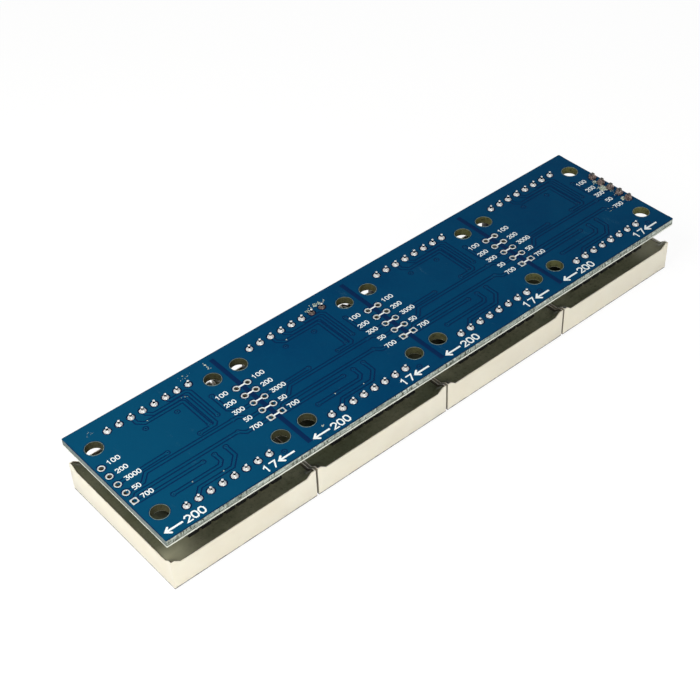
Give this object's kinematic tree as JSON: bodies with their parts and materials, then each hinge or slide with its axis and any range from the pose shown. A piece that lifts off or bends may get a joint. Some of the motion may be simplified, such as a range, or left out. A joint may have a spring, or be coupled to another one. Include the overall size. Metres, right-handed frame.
{
  "type": "led dot matrix module",
  "caption": "Row of square LED dot matrix blocks plugged into one blue driver board, lying on the LED faces with the solder side up.",
  "frame": {"origin": "centre of the footprint, on the plane of the LED faces", "axes": "+X along the row of blocks from the output end to the input end, +Z from the LED faces up to the solder side of the board"},
  "size_m": [0.128, 0.032, 0.0142],
  "materials": {
    "blue_board": "blue solder mask, satin gloss, on glass laminate",
    "housing_plastic": "ivory moulded plastic, satin",
    "dot_resin": "milky cast resin",
    "inner_board": "bare laminate",
    "resin_back": "dark olive potting resin, smooth",
    "tinned_pins": "tinned metal, bright",
    "socket_black": "black moulded plastic, matt",
    "chip_black": "black moulded epoxy, fine matt",
    "resistor_black": "black film on ceramic, tinned ends",
    "ceramic_tan": "tan ceramic, tinned ends",
    "capacitor_yellow": "yellow moulded case, tinned ends",
    "led_die": "semiconductor die",
    "solder": "solder, bright, slightly wavy"
  },
  "bodies": {
    "root": {"pcb": "blue_board", "matrix_housing_1": "housing_plastic", "matrix_housing_2": "housing_plastic", "matrix_housing_3": "housing_plastic", "matrix_housing_4": "housing_plastic", "dot_lenses_1": "dot_resin", "dot_lenses_2": "dot_resin", "dot_lenses_3": "dot_resin", "dot_lenses_4": "dot_resin", "led_board_1": "inner_board", "led_board_2": "inner_board", "led_board_3": "inner_board", "led_board_4": "inner_board", "potting_1": "resin_back", "potting_2": "resin_back", "potting_3": "resin_back", "potting_4": "resin_back", "matrix_pins_1": "tinned_pins", "matrix_pins_2": "tinned_pins", "matrix_pins_3": "tinned_pins", "matrix_pins_4": "tinned_pins", "socket_front_1": "socket_black", "socket_front_2": "socket_black", "socket_front_3": "socket_black", "socket_front_4": "socket_black", "socket_back_1": "socket_black", "socket_back_2": "socket_black", "socket_back_3": "socket_black", "socket_back_4": "socket_black", "socket_contacts_1": "tinned_pins", "socket_contacts_2": "tinned_pins", "socket_contacts_3": "tinned_pins", "socket_contacts_4": "tinned_pins", "driver_chip_1": "chip_black", "driver_chip_2": "chip_black", "driver_chip_3": "chip_black", "driver_chip_4": "chip_black", "driver_leads_1": "tinned_pins", "driver_leads_2": "tinned_pins", "driver_leads_3": "tinned_pins", "driver_leads_4": "tinned_pins", "current_resistor_1": "resistor_black", "current_resistor_2": "resistor_black", "current_resistor_3": "resistor_black", "current_resistor_4": "resistor_black", "ceramic_capacitor_1": "ceramic_tan", "ceramic_capacitor_2": "ceramic_tan", "ceramic_capacitor_3": "ceramic_tan", "ceramic_capacitor_4": "ceramic_tan", "bulk_capacitor_1": "capacitor_yellow", "bulk_capacitor_2": "capacitor_yellow", "bulk_capacitor_3": "capacitor_yellow", "bulk_capacitor_4": "capacitor_yellow", "led_dice": "led_die", "solder_joints": "solder", "input_header": "socket_black", "input_pins": "tinned_pins", "header_solder": "solder"}
  },
  "joints": []
}
